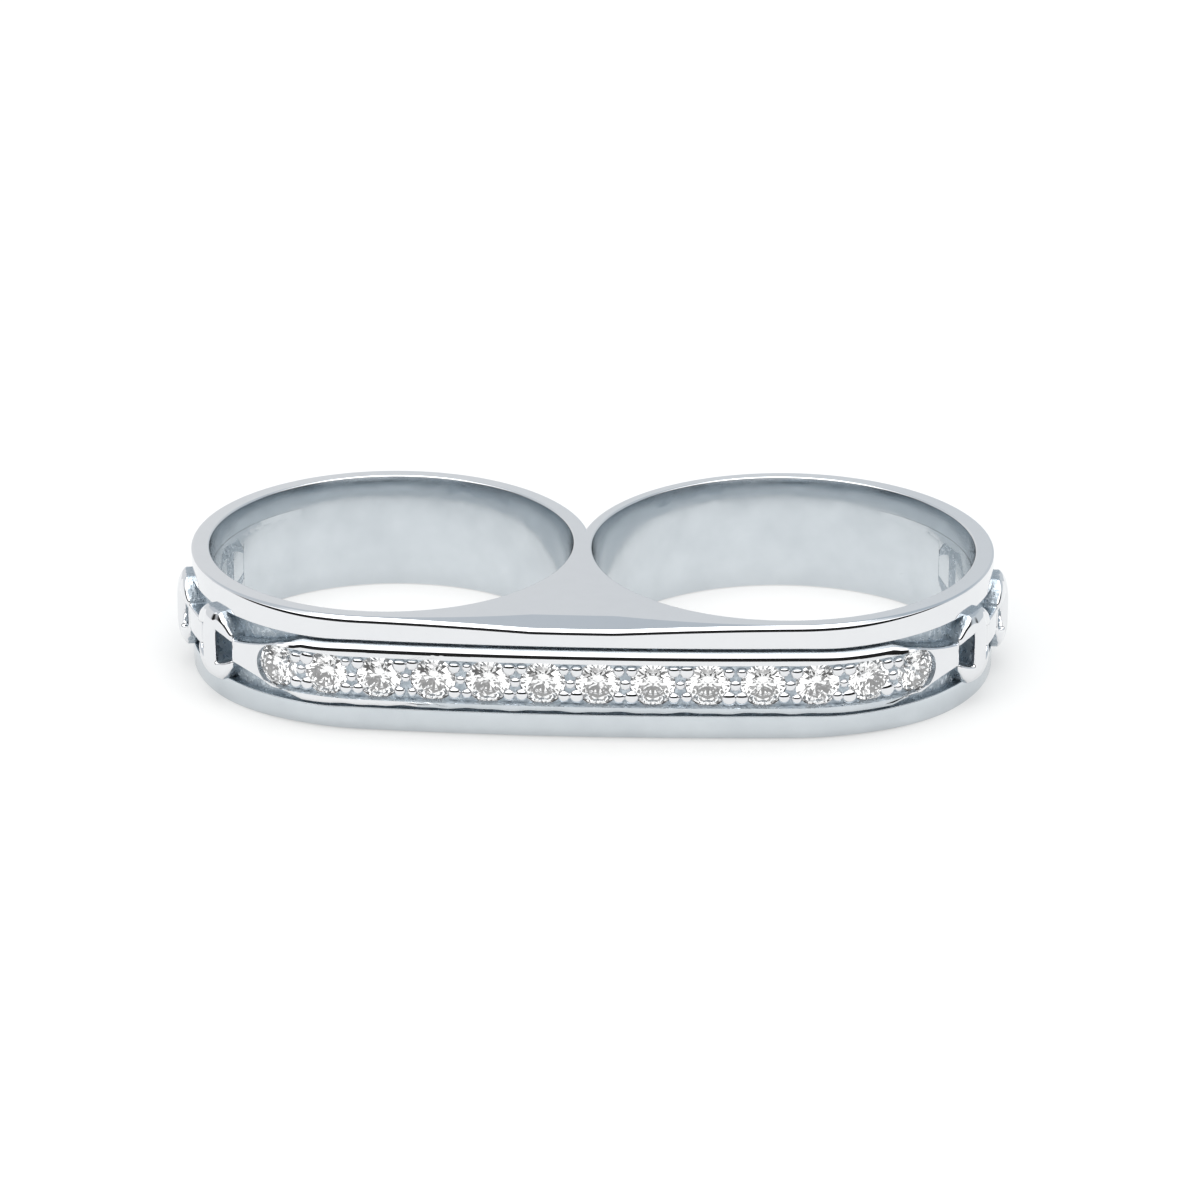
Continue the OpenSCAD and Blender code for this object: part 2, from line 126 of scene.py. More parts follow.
# Diamond bends light strongly, which makes a brilliant's bright and dark facets. Its polish is all but
# perfect. A faint glow stands in for the light that such small facets scatter among themselves
def makeDiamond(settings):
    material = bpy.data.materials.new("diamond")
    material.use_nodes = True
    tree = material.node_tree
    shader = tree.nodes["Principled BSDF"]
    shader.inputs["Base Color"].default_value = srgb(settings["colour"])
    shader.inputs["Transmission Weight"].default_value = 1.0
    shader.inputs["IOR"].default_value = settings["ior"]
    shader.inputs["Emission Color"].default_value = (1, 1, 1, 1)
    shader.inputs["Emission Strength"].default_value = settings["glow"]
    place = addNode(tree, "TexCoord").outputs["Object"]
    dust = addNode(tree, "TexNoise", {"Scale": 1000 / settings["dustMm"]}, {"Vector": place}).outputs["Fac"]
    gloss = addNode(tree, "MapRange", {"To Max": settings["roughHigh"]}, {"Value": dust})
    tree.links.new(gloss.outputs["Result"], shader.inputs["Roughness"])
    return material


diamond = makeDiamond({"colour": "#ffffff", "ior": 2.42, "dustMm": 0.3, "roughHigh": 0.006, "glow": 0.03})
print("materials made")


# Points that are this close are one point: within the rows of a sweep, and where two sweeps meet
rowSame, sweepSame = 1e-4, 0.002


# A skin of metal is drawn as a wire and extruded from row to row. Each corner of a face keeps the surface's
# true direction, so that flats stay flat and curves mirror cleanly
class Skin:
    def __init__(self):
        self.bm = bmesh.new()
        self.facing = self.bm.loops.layers.float_vector.new("facing")

    def dress(self, face, facing, directions, look, rough=False):
        face.normal_update()
        if face.normal.dot(sum(directions.values(), Vector())) < 0:
            face.normal_flip()
        for loop in face.loops:
            loop[facing] = Vector() if rough else directions[loop.vert]
        face.smooth = True
        face.material_index = look

    # rows hold pairs of a point and its direction. looks gives each strip's material
    def sweep(self, rows, looks=None, rough=False):
        if len(rows) < 2:
            return
        bm = bmesh.new()
        facing = bm.loops.layers.float_vector.new("facing")
        strips = [k for k in range(len(rows[0]) - 1)
                  if any((row[k][0] - row[k + 1][0]).length > rowSame for row in rows)]
        verts = [bm.verts.new(point) for point, _ in rows[0]]
        edges = {k: bm.edges.new((verts[k], verts[k + 1])) for k in strips}
        for old, row in zip(rows, rows[1:]):
            fresh = set(bmesh.ops.extrude_edge_only(bm, edges=list(edges.values()))["geom"])
            moved = list(verts)
            for k, vert in enumerate(verts):
                for edge in vert.link_edges:
                    if edge.other_vert(vert) in fresh:
                        moved[k] = edge.other_vert(vert)
                        moved[k].co = row[k][0]
            for k in strips:
                face = next(f for f in edges[k].link_faces if f in fresh)
                directions = {verts[k]: old[k][1], verts[k + 1]: old[k + 1][1],
                              moved[k]: row[k][1], moved[k + 1]: row[k + 1][1]}
                self.dress(face, facing, directions, looks(k, len(row)) if looks else shine, rough)
                edges[k] = bm.edges.get((moved[k], moved[k + 1]))
            verts = moved
        part = bpy.data.meshes.new("part")
        bm.to_mesh(part)
        bm.free()
        self.bm.from_mesh(part)
        bpy.data.meshes.remove(part)

    def fill(self, outlines, direction, look=shine):
        bm = self.bm
        edges = []
        for line in outlines:
            clean = [p for k, p in enumerate(line) if (p - line[k - 1]).length > sweepSame / 2]
            verts = [bm.verts.new(point) for point in clean]
            edges += [bm.edges.new((verts[k - 1], verts[k])) for k in range(len(verts))]
        made = bmesh.ops.triangle_fill(bm, edges=edges, use_beauty=True, use_dissolve=False,
                                       normal=direction)
        for face in made["geom"]:
            if isinstance(face, bmesh.types.BMFace):
                self.dress(face, self.facing, {v: direction for v in face.verts}, look)

    def piece(self, name, materials, node):
        bm = self.bm
        bmesh.ops.delete(bm, geom=[v for v in bm.verts if not v.link_faces], context="VERTS")
        bmesh.ops.remove_doubles(bm, verts=bm.verts, dist=sweepSame)
        bmesh.ops.scale(bm, vec=(toMetres,) * 3, verts=bm.verts)
        mesh = bpy.data.meshes.new(name)
        bm.to_mesh(mesh)
        bm.free()
        for material in materials:
            mesh.materials.append(material)
        facing = [0.0] * (3 * len(mesh.loops))
        mesh.attributes["facing"].data.foreach_get("vector", facing)
        mesh.attributes.remove(mesh.attributes["facing"])
        mesh.normals_split_custom_set([facing[k:k + 3] for k in range(0, len(facing), 3)])
        showPiece(name, mesh, node)


def showPiece(name, mesh, node):
    piece = bpy.data.objects.new(name, mesh)
    bpy.context.scene.collection.objects.link(piece)
    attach(piece, "root")
    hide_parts(node)
    print(name, "has", len(mesh.polygons), "faces")
    return piece


# A place on the outer wall is the centre and radius of its arc, and the turn
def placeOn(arc, turn):
    return arc["x"], arc["y"], arc["r"], turn


def spot(place, proud, z):
    x, y, r, turn = place
    return Vector((x + (r + proud) * math.sin(turn), y - (r + proud) * math.cos(turn), z))


def outward(place, out=1.0, up=0.0):
    return Vector((out * math.sin(place[3]), -out * math.cos(place[3]), up)).normalized()


def along(place):
    return Vector((math.cos(place[3]), math.sin(place[3]), 0))


# The finger hole's wall swells a little at mid height, for comfort, and leans out towards both rims
comfort = {"swell": 0.03, "lean": 0.00204, "rimBreak": 0.08}


def boreRadius(hole, z):
    return hole[2] - comfort["swell"] + comfort["lean"] * (z - middle) ** 4


def boreDepth(place, hole, z=middle):
    start = spot(place, 0, 0) - Vector((hole[0], hole[1], 0))
    run = start.dot(outward(place))
    return run - math.sqrt(run * run - start.length_squared + boreRadius(hole, z) ** 2)


def boreSpot(hole, angle, z):
    lean = 4 * comfort["lean"] * (z - middle) ** 3
    r = boreRadius(hole, z)
    return (Vector((hole[0] + r * math.cos(angle), hole[1] + r * math.sin(angle), z)),
            Vector((-math.cos(angle), -math.sin(angle), lean)).normalized())


mostRounded = 0.47  # share of a section's side that one rounded corner may take


# Rounds the corners of a section, whose key points are (proud, height, radius). The answer holds each point
# with its direction's outward and upward shares, twice where a corner stays sharp
def rounded(keys, flip=1, pieces=4):
    out = []
    for k, (proud, z, radius) in enumerate(keys):
        here = Vector((proud, z))
        into = (here - Vector(keys[k - 1][:2])) if k else None
        away = (Vector(keys[k + 1][:2]) - here) if k + 1 < len(keys) else None
        if radius <= 0 or into is None or away is None:
            for d in (into, away):
                if d is not None:
                    n = Vector((-d.y, d.x)).normalized() * flip
                    out.append((proud, z, n.x, n.y))
            continue
        angle = into.angle_signed(away, 0.0)
        back = min(radius * abs(math.tan(angle / 2)), mostRounded * into.length, mostRounded * away.length)
        first, last = here - into.normalized() * back, here + away.normalized() * back
        for step in range(pieces + 1):
            t = step / pieces
            point = first * (1 - t) ** 2 + here * 2 * t * (1 - t) + last * t ** 2
            d = (here - first) * (1 - t) + (last - here) * t
            if d.length < 1e-9:
                d = away
            n = Vector((-d.y, d.x)).normalized() * flip
            out.append((point.x, point.y, n.x, n.y))
    return out


def sectionRow(place, section):
    return [(spot(place, proud, z), outward(place, out, up)) for proud, z, out, up in section]


def ease(t):
    t = min(max(t, 0.0), 1.0)
    return t * t * (3 - 2 * t)


def spread(low, high, step):
    count = max(1, math.ceil(abs(high - low) / step))
    return [low + (high - low) * k / count for k in range(count + 1)]


def turned(place, loop):
    return math.degrees(abs(place[3] - loop["join"])) if loop else 0.0


# The bar and its grooves sit a hair above mid height in front
def lift(place, loop):
    return heights["lift"] * (1 - ease(turned(place, loop) / heights["liftTurn"]))


# Half height of the bar's and the ribbon's tapered ends, at a distance in from the end
taper = {"length": 4.4, "power": 1.35}


def halfHeight(distance):
    share = min(distance / taper["length"], 1.0)
    return heights["halfEnd"] + (heights["halfSlot"] - heights["halfEnd"]) * share ** taper["power"]


backTurn = math.radians(275)  # the walls end in the web between the two holes, past the notch where they meet


# The turns at which a loop's wall is drawn, and the marks between its parts
def loopTurns(loop):
    tip = loop["side"] * taper["length"] / loop["r"]
    marks = [loop["join"], loop["barEnd"] - tip, loop["barEnd"], loop["ribbonEnd"], loop["ribbonEnd"] + tip,
             loop["side"] * backTurn]
    turns = [marks[0]]
    for a, b in zip(marks, marks[1:]):
        turns += spread(a, b, steps["turn"])[1:]
    return turns, marks


edges = {"sideBreak": 0.12, "topDepth": 1.25, "topDrop": 0.45, "bottomDepth": 0.55, "fadeFrom": 12.0,
         "fadeTo": 50.0, "nearHole": 0.35, "least": 0.25, "openRoom": 9.0, "rimRoom": 0.2}


# Depth and drop of the soft slope on the upper edge, and depth of the rounding on the lower one. They are
# largest between the holes, smaller where a hole comes near, and fade into a small break at the sides
def slopeAt(place, loop):
    share = 1 - ease((turned(place, loop) - edges["fadeFrom"]) / (edges["fadeTo"] - edges["fadeFrom"]))
    room = edges["openRoom"]
    for name in ("left", "right"):
        hole = plan[name]["hole"]
        reach = spot(place, 0, 0) - Vector((hole[0], hole[1], 0))
        if reach.y < 0:
            room = min(room, reach.length - hole[2] - edges["rimRoom"])
    depth = min(edges["topDepth"], max(edges["least"], edges["nearHole"] * room))
    low = edges["sideBreak"]
    return [low + (size - low) * share for size in (depth, edges["topDrop"], edges["bottomDepth"])]


# The upper rail's corners come with their radii: first the slope's, as shares of its width across and down,
# then the edge's, as shares of the drop
upper = {"slope": [(0.0, 0.0, 0), (0.48, 0.067, 1.5)], "slopeFall": 0.257,
         "edge": [(0.44, 0.0, 0.12), (0.15, 0.22, 0.08), (0.04, 0.5, 0.08), (0.0, 0.74, 0.2)], "lip": 0.05}
# The lower rail is rounded underneath by shares of its depth, then bulges up to a small lip at the groove
lower = {"under": (0.4, 0.07, 0.8), "turn": (0.02, 0.75, 0.9), "bulge": (0.85, 1.2), "lipDrop": 0.18,
         "lipRound": 0.3, "lipBack": 0.03, "lip": 0.05}


def upperRail(place, inner, loop=None):
    depth, drop, _ = slopeAt(place, loop)
    top, under = heights["band"], middle + lift(place, loop) + heights["halfSlot"]
    width = depth - upper["edge"][0][0] * drop
    edge = top - upper["slopeFall"] * width
    keys = [(-depth + across * width, top - down * width, radius) for across, down, radius in upper["slope"]]
    keys += [(-across * drop, edge - down * drop, radius) for across, down, radius in upper["edge"]]
    return rounded(keys + [(0, under, upper["lip"]), (-inner, under, 0)])


def lowerRail(place, inner, loop=None):
    _, _, depth = slopeAt(place, loop)
    over = middle + lift(place, loop) - heights["halfSlot"]
    across, up, radius = lower["under"]
    turnBack, turnUp, turnRadius = lower["turn"]
    bulgeUp, bulgeRadius = lower["bulge"]
    return rounded([(-depth, 0, 0), (-across * depth, up * depth, radius),
                    (-turnBack, turnUp * depth, turnRadius), (0, bulgeUp, bulgeRadius),
                    (0, over - lower["lipDrop"], lower["lipRound"]), (-lower["lipBack"], over, lower["lip"]),
                    (-inner, over, 0)], flip=-1)


metal = Skin()
loops = {name: loopTurns(plan[name]) for name in ("left", "right")}
frontTurns = spread(plan["left"]["join"], plan["right"]["join"], steps["front"])
frontPlaces = [placeOn(plan["front"], turn) for turn in frontTurns]


def inWindow(turn, marks):
    return abs(marks[1]) - 1e-9 <= abs(turn) <= abs(marks[4]) + 1e-9


# The two rails run all the way round. Their inner edges are left as cast. The lower rail is buffed metal,
# whose darker tint is painted shade
for section, base in ((upperRail, shine), (lowerRail, buffShade)):
    for name, (turns, marks) in loops.items():
        loop = plan[name]
        rows = []
        for turn in turns:
            place = placeOn(loop, turn)
            edge = middle + lift(place, loop) + heights["halfSlot"] * (1 if section == upperRail else -1)
            inner = boreDepth(place, loop["hole"], edge) if inWindow(turn, marks) else heights["groove"]
            rows.append(sectionRow(place, section(place, inner, loop)))
        metal.sweep(rows, lambda k, n: cast if k == n - 2 else base)
    metal.sweep([sectionRow(place, section(place, heights["groove"])) for place in frontPlaces],
                lambda k, n: cast if k == n - 2 else base)
print("rails made")


# The finger holes' walls, open where the chain's windows are, with a fine rounded rim at both ends. The walls
# are buffed metal, whose darker tint is painted shade
rimBreak = comfort["rimBreak"]
startLean = math.atan(4 * comfort["lean"] * (heights["band"] - middle - rimBreak) ** 3)
rimZ = heights["band"] - rimBreak * (1 - math.sin(startLean))
boreAngles = {}
for name, (turns, marks) in loops.items():
    loop = plan[name]
    hole = loop["hole"]
    web = spread(turns[-1], loop["side"] * 2 * math.pi + turns[0], steps["turn"])
    angles = []
    for turn in turns + web[1:]:
        place = placeOn(loop, turn)
        point = spot(place, -boreDepth(place, hole), 0)
        angles.append(math.atan2(point.y - hole[1], point.x - hole[0]))
    boreAngles[name] = angles
    within = [k for k, turn in enumerate(turns) if inWindow(turn, marks)]
    slotTop, slotLow = middle + heights["halfSlot"], middle - heights["halfSlot"]
    for part, low, high in ((angles[within[-1]:], heights["band"] - rimZ, rimZ),
                            (angles[:within[0] + 1], heights["band"] - rimZ, rimZ),
                            (angles[within[0]:within[-1] + 1], slotTop, rimZ),
                            (angles[within[0]:within[-1] + 1], heights["band"] - rimZ, slotLow)):
        metal.sweep([[boreSpot(hole, angle, z) for z in spread(low, high, steps["bore"])] for angle in part],
                    lambda k, n: buffShade)
    for sign in (1, -1):
        rows = []
        for angle in angles:
            out = Vector((math.cos(angle), math.sin(angle), 0))
            up = Vector((0, 0, sign))
            start = boreSpot(hole, angle, middle + sign * (rimZ - middle))[0]
            row = []
            for t in spread(startLean, math.pi / 2, steps["rim"]):
                back, rise = math.cos(startLean) - math.cos(t), math.sin(t) - math.sin(startLean)
                row.append((start + out * rimBreak * back + up * rimBreak * rise,
                            up * math.sin(t) - out * math.cos(t)))
            rows.append(row)
        metal.sweep(rows)
    # The inner faces of the bar's and the ribbon's ends leave only slits beside them
    for low, end in ((marks[1], marks[2]), (marks[4], marks[3])):
        rows = []
        for angle, turn in zip(angles, turns):
            if min(abs(low), abs(end)) - 1e-9 <= abs(turn) <= max(abs(low), abs(end)) + 1e-9:
                taperHalf = halfHeight(abs(turn - end) * loop["r"])
                up, down = [taperHalf if slit is None else max(taperHalf, heights["halfSlot"] - slit)
                            for slit in loop["slits"]]
                rows.append([boreSpot(hole, angle, middle - down + (up + down) * share)
                             for share in spread(0, 1, 1 / 8)])
        metal.sweep(rows, lambda k, n: buffShade)


# The flat upper and lower faces lie between the wall's outline and the two holes
def notchPoint():
    a, b = plan["left"], plan["right"]
    ra, rb = a["r"] - edges["sideBreak"], b["r"] - edges["sideBreak"]
    gap = Vector((b["x"] - a["x"], b["y"] - a["y"]))
    reach = (gap.length_squared + ra * ra - rb * rb) / (2 * gap.length)
    side = Vector((-gap.y, gap.x)).normalized()
    return Vector((a["x"], a["y"])) + gap.normalized() * reach + side * math.sqrt(ra * ra - reach * reach)


notch = notchPoint()
notchRoom = 0.004  # the outline's points stop this turn short of the notch, so that no sliver is left there
for z, direction, which in ((heights["band"], 1, 0), (0.0, -1, 2)):
    outline = []
    for name in ("left", "right"):
        loop = plan[name]
        most = math.pi + math.atan2(abs(notch.x - loop["x"]), notch.y - loop["y"]) - notchRoom
        places = [placeOn(loop, turn) for turn in loops[name][0] if abs(turn) < most]
        part = [spot(place, -slopeAt(place, loop)[which], z) for place in places]
        if name == "left":
            front = [spot(place, -slopeAt(place, None)[which], z) for place in frontPlaces[1:-1]]
            outline = part[::-1] + front
        else:
            outline += part
    outline.append(Vector((notch.x, notch.y, z)))
    rims = []
    for name, angles in boreAngles.items():
        hole = plan[name]["hole"]
        r = boreRadius(hole, rimZ) + rimBreak * math.cos(startLean)
        rims.append([Vector((hole[0] + r * math.cos(a), hole[1] + r * math.sin(a), z))
                     for a in angles[:-1]])
    metal.fill([outline] + rims, Vector((0, 0, direction)))
print("faces and finger holes made")

# A rough skin closes the windows just outside the finger hole. It thins out behind the tapered ends. Its
# inside is buffed metal, whose darker tint is painted shade
liner = {"outer": 0.68, "behindEnds": 0.2, "inner": 0.008, "innerShare": 0.1, "roughness": 0.05,
         "lump": 0.35, "under": 0.12, "overlap": 0.03}
for name, (turns, marks) in loops.items():
    loop = plan[name]
    outside, inside = [], []
    for turn in spread(marks[1], marks[4], steps["liner"]):
        place = placeOn(loop, turn)
        back = boreDepth(place, loop["hole"])
        inEnd = max(abs(marks[2]) - abs(turn), abs(turn) - abs(marks[3])) * loop["r"]
        high = halfHeight(inEnd) if inEnd > 0 else 0
        out = outward(place)
        outRow, inRow = [], []
        for z in spread(middle - heights["halfSlot"] - liner["overlap"],
                        middle + heights["halfSlot"] + liner["overlap"], steps["linerUp"]):
            beside = abs(z - middle) > high - liner["under"]
            flat = spot(place, liner["outer" if beside else "behindEnds"] - back, z)
            lump = noise.noise(flat / liner["lump"]) * liner["roughness"]
            outRow.append((flat + out * lump, out))
            inRow.append((spot(place, liner["inner"] - back, z) + out * lump * liner["innerShare"], -out))
        outside.append(outRow)
        inside.append(inRow)
    metal.sweep(outside, lambda k, n: cast, rough=True)
    metal.sweep(inside, lambda k, n: buffShade, rough=True)
print("window floors made")

# The bar: shoulders, tapered ends and a flat face with the engraved channel
bar = {"proud": 0.35, "upperShoulder": 0.36, "lowerShoulder": 0.2, "endRound": 0.1, "endTaper": 0.965,
       "channel": 1.08, "channelDepth": 0.25, "channelLean": 0.1, "endLength": 2.8, "stones": 13,
       "pitch": 2.578, "rowMiddle": -1.68, "seat": 1.07, "seatDepth": 0.42, "seatTip": 1.34,
       "seatBottom": 0.05, "wave": 0.03, "waves": ((1.0, 1.9, 0), (0.6, 4.3, 1)), "lowerRaise": 0.1,
       "lip": 0.025, "leastShoulder": 0.09, "paintedShadeSpan": (-10, 13), "shadeSlant": 0.6}
# The shoulders' corners with their radii. Above, a corner's two shares are of how proud the bar is and of the
# shoulder's width. Below, they are lengths back from the face and in from the edge
shoulders = {"base": 0.05, "upper": ((0.57, 0.22), (0.83, 0.56), (0.957, 0.89)), "upperRound": 0.06,
             "last": 0.05, "lower": ((0.1, 0.03), (0.04, 0.12)), "lowerRound": 0.1, "buffShadeTo": 6}
rowRadius = plan["front"]["r"] + bar["proud"]
joinRuns = {name: rowRadius * plan[name]["join"] for name in ("left", "right")}
halfRow = (bar["stones"] - 1) / 2 * bar["pitch"]
firstRun, lastRun = bar["rowMiddle"] - halfRow, bar["rowMiddle"] + halfRow
barEnds = {"left": firstRun - bar["endLength"], "right": lastRun + bar["endLength"]}


# Lengths along the row are measured from the foremost point of the front
def barPlace(run):
    for name, joinRun in joinRuns.items():
        loop = plan[name]
        if (run - joinRun) * loop["side"] > 0:
            return placeOn(loop, loop["join"] + (run - joinRun) / (loop["r"] + bar["proud"])), loop
    return placeOn(plan["front"], run / rowRadius), None


def barHalf(run):
    inside = min(run - barEnds["left"], barEnds["right"] - run)
    return min(halfHeight(bar["endTaper"] * inside), heights["halfBar"])


# Beside the bar's tapered ends the wall is cut through to the finger hole
def openBeside(run):
    return barHalf(run) < heights["halfBar"] - 1e-6


# The lower edge is a little wavy, where the setter's tools ran along it
def edgeOf(run, side):
    half = barHalf(run)
    place, loop = barPlace(run)
    raised = lift(place, loop)
    if side < 0:
        waves = sum(high * math.sin(rate * run + start) for high, rate, start in bar["waves"])
        half += bar["wave"] * raised / heights["lift"] * waves - bar["lowerRaise"]
    shoulder = bar["upperShoulder"] if side > 0 else bar["lowerShoulder"]
    lip = bar["channel"] + bar["lip"] - side * raised
    flat = max(half - shoulder, min(half - bar["leastShoulder"], lip))
    return half, flat, raised


def barRow(run, side, shrink=0.0, slide=0.0):
    half, flat, raised = edgeOf(run, side)
    place, loop = barPlace(run + slide)
    inner = boreDepth(place, loop["hole"]) if openBeside(run) and loop else heights["groove"]
    drop, proud, half, flat = half - flat, bar["proud"] - shrink, half - shrink, flat - shrink
    keys = [(-inner, half, 0), (0, half, shoulders["base"])]
    if side > 0:
        keys += [(out * proud, half - down * drop, shoulders["upperRound"])
                 for out, down in shoulders["upper"]] + [(proud, half - drop, shoulders["last"])]
    else:
        keys += [(proud - back, half - up, shoulders["lowerRound"]) for back, up in shoulders["lower"]]
    return [(spot(place, p, middle + raised + side * z), outward(place, out, side * up))
            for p, z, out, up in rounded(keys + [(proud, flat, 0)])]


capRuns = {name: barEnds[name] - plan[name]["side"] * bar["endRound"] for name in barEnds}
endShares = [k / steps["ends"] for k in range(steps["ends"] + 1)]
leftRuns = [capRuns["left"] + (firstRun - capRuns["left"]) * share for share in endShares[:-1]]
rightRuns = [lastRun + (capRuns["right"] - lastRun) * share for share in endShares[1:]]
middleRuns = spread(firstRun, lastRun, steps["row"])
# The upper shoulder's strips next to the groove are buffed metal, whose darker tint paints a grey-blue band
# of shade there
metal.sweep([barRow(run, 1) for run in leftRuns + middleRuns + rightRuns],
            lambda k, n: cast if k == 0 else buffShade if k <= shoulders["buffShadeTo"] else shine)
# The lower edge's facet is polished towards its two ends. Its middle takes the darker buffed metal as painted
# shade, standing in for the shaded table that it mirrors
cuts = [sum(run <= end for run in middleRuns) for end in bar["paintedShadeSpan"]]
facets = [(leftRuns, middleRuns[:cuts[0]], [], shine), ([], middleRuns[cuts[0] - 1:cuts[1]], [], buffShade),
          ([], middleRuns[cuts[1] - 1:], rightRuns, shine)]
for before, between, after, look in facets:
    metal.sweep([barRow(run, -1) for run in before + between + after], lambda k, n: cast if k == 0 else look)
for name, run in capRuns.items():
    side = plan[name]["side"]
    rows = []
    for t in spread(0, math.pi / 2, steps["cap"]):
        shrink, slide = bar["endRound"] * (1 - math.cos(t)), side * bar["endRound"] * math.sin(t)
        whole = barRow(run, 1, shrink, slide) + barRow(run, -1, shrink, slide)[::-1]
        lean = along(barPlace(run + slide)[0]) * side * math.sin(t)
        rows.append([(point, (direction * math.cos(t) + lean).normalized()) for point, direction in whole])
    metal.sweep(rows)
    metal.fill([[point for point, _ in rows[-1]]], along(barPlace(run)[0]) * side, cast)


def onBar(run, up, depth=0.0, direction=None):
    place, _ = barPlace(run)
    return spot(place, bar["proud"] - depth, middle + up), direction(place) if direction else outward(place)


def faceEdge(run, side):
    _, flat, raised = edgeOf(run, side)
    return raised + side * flat


# The painted shade on the lower facet starts and ends slantwise
def shadeSlant(run):
    return sum(bar["shadeSlant"] * math.exp(-(run - end) ** 2) * (1 if end < 0 else -1)
               for end in bar["paintedShadeSpan"])


half, channelSlope = bar["channel"], bar["channelLean"] / bar["channelDepth"]
for side in (1, -1):
    for _, runs, _, look in facets if side < 0 else [([], middleRuns, [], shine)]:
        metal.sweep([[onBar(run + shadeSlant(run), faceEdge(run, side)), onBar(run - shadeSlant(run), side * half)]
                     for run in runs], lambda k, n: look)
    sloped = lambda place: Vector((0, 0, -side)) + outward(place) * channelSlope
    metal.sweep([[onBar(run, side * (half - lean), depth, sloped)
                  for lean, depth in ((0, 0), (bar["channelLean"], bar["channelDepth"]))]
                 for run in middleRuns], lambda k, n: cast)
for name, centre, runs in (("left", firstRun, leftRuns[::-1]), ("right", lastRun, rightRuns)):
    side = plan[name]["side"]
    end = capRuns[name]
    rim = [(run, faceEdge(run, 1)) for run in [centre] + runs]
    rim += [(end, rim[-1][1] * share) for share in spread(1, -1, steps["capEdge"])[1:-1]]
    rim += [(run, faceEdge(run, -1)) for run in ([centre] + runs)[::-1]]
    rows = []
    for k, (run, up) in enumerate(rim):
        a = math.pi * (0.5 - k / (len(rim) - 1))
        toRun, toUp = centre + side * half * math.cos(a), half * math.sin(a)
        rows.append([onBar(run + (toRun - run) * share, up + (toUp - up) * share)
                     for share in spread(0, 1, 1 / 4)])
    metal.sweep(rows)
    metal.sweep([[onBar(centre + side * half * math.cos(a), half * math.sin(a), depth,
                        lambda place: -along(place) * side * math.cos(a) - Vector((0, 0, math.sin(a))))
                  for depth in (0, bar["channelDepth"])]
                 for a in spread(math.pi / 2, -math.pi / 2, steps["channelEnd"])], lambda k, n: cast)

# Each stone has a cell of the channel's floor with a drilled seat. The floor ends a hair inside the walls
floorRoom = 0.01
for k in range(bar["stones"]):
    centre = firstRun + k * bar["pitch"]
    floor, walls, cones = [], [], []
    for a in spread(0, 2 * math.pi, steps["seat"]):
        ca, sa = math.cos(a), math.sin(a)
        reach = min(bar["pitch"] / 2 / max(abs(ca), 1e-6), (half - floorRoom) / max(abs(sa), 1e-6))
        if (k == 0 and ca < 0) or (k == bar["stones"] - 1 and ca > 0):
            reach = half
        facing = lambda place: -along(place) * ca - Vector((0, 0, sa))
        sloped = lambda place: (facing(place) + outward(place)).normalized()
        seat, depth = bar["seat"], bar["channelDepth"]
        floor.append([onBar(centre + r * ca, r * sa, depth) for r in (reach, seat)])
        walls.append([onBar(centre + seat * ca, seat * sa, d, facing) for d in (depth, bar["seatDepth"])])
        cones.append([onBar(centre + r * ca, r * sa, d, sloped)
                      for r, d in ((seat, bar["seatDepth"]), (bar["seatBottom"], bar["seatTip"]))])
    metal.sweep(floor, lambda k, n: cast)
    metal.sweep(walls)
    metal.sweep(cones)
print("bar made")

# The groove's floor above and below the bar, then the ribbon round the back of each loop
for side in (1, -1):
    rows = []
    for run in leftRuns + middleRuns + rightRuns:
        if not openBeside(run):
            place, loop = barPlace(run)
            half, _, raised = edgeOf(run, side)
            rows.append([(spot(place, -heights["groove"], middle + raised + side * z), outward(place))
                         for z in (half, heights["halfSlot"])])
    metal.sweep(rows, lambda k, n: cast)
ribbon = {"proud": 0.09, "shoulder": 0.18, "edgeRound": 0.04, "faceRound": 0.25}
for name, (turns, marks) in loops.items():
    loop = plan[name]
    places = [placeOn(loop, turn) for turn in turns if abs(turn) >= abs(marks[3]) - 1e-9]
    ends = []
    for side in (1, -1):
        rows, floors = [], []
        for place in places:
            high = min(halfHeight(abs(place[3] - marks[3]) * loop["r"]), heights["halfBar"])
            openHere = high < heights["halfBar"] - 1e-6
            inner = boreDepth(place, loop["hole"]) if openHere else heights["groove"]
            section = rounded([(-inner, high, 0), (0, high, ribbon["edgeRound"]),
                               (ribbon["proud"], high - ribbon["shoulder"], ribbon["faceRound"]),
                               (ribbon["proud"], 0, 0)])
            rows.append([(spot(place, p, middle + side * z), outward(place, out, side * up))
                         for p, z, out, up in section])
            if not openHere:
                floors.append([(spot(place, -heights["groove"], middle + side * z), outward(place))
                               for z in (heights["halfBar"], heights["halfSlot"])])
        metal.sweep(rows, lambda k, n: cast if k == 0 else shine)
        metal.sweep(floors, lambda k, n: cast)
        ends.append([point for point, _ in rows[0]])
    metal.fill([ends[0] + ends[1][::-1]], -along(places[0]) * loop["side"], cast)
metal.piece("ring_metal", [polished, buffedShaded, asCast], "ring_body")

# The chain of stud links at each side is laid out flat, melted together like a casting and bent round the
# wall. Its outside is polished by hand, and its hollows and its inside stay as cast. A link is a stud with
# four quarters of an oval. A quarter's outline runs along the top, over the shoulder to the tip, and back
# along the window beside the stud
chain = {"link": 3.0, "gap": 1.9, "links": 3, "stud": 0.92, "overlap": 0.05, "along": (0.25, 0.64),
         "shoulder": (1.1, 1.34), "tip": (0.8, 0.45), "window": [(1.0, 0.68), (0.25, 0.92)],
         "connectorLap": 0.22, "proud": 0.73, "armProud": 0.68, "connectorProud": 0.52, "depth": 1.1,
         "soft": 0.17, "voxel": 0.055, "smooth": 5, "smoothBy": 0.5, "dome": 0.4, "domeUp": 0.4,
         "polishedTo": 0.1, "sidePolish": 0.24, "sideFrom": 0.5, "ragged": 0.18, "raggedMm": 0.25}


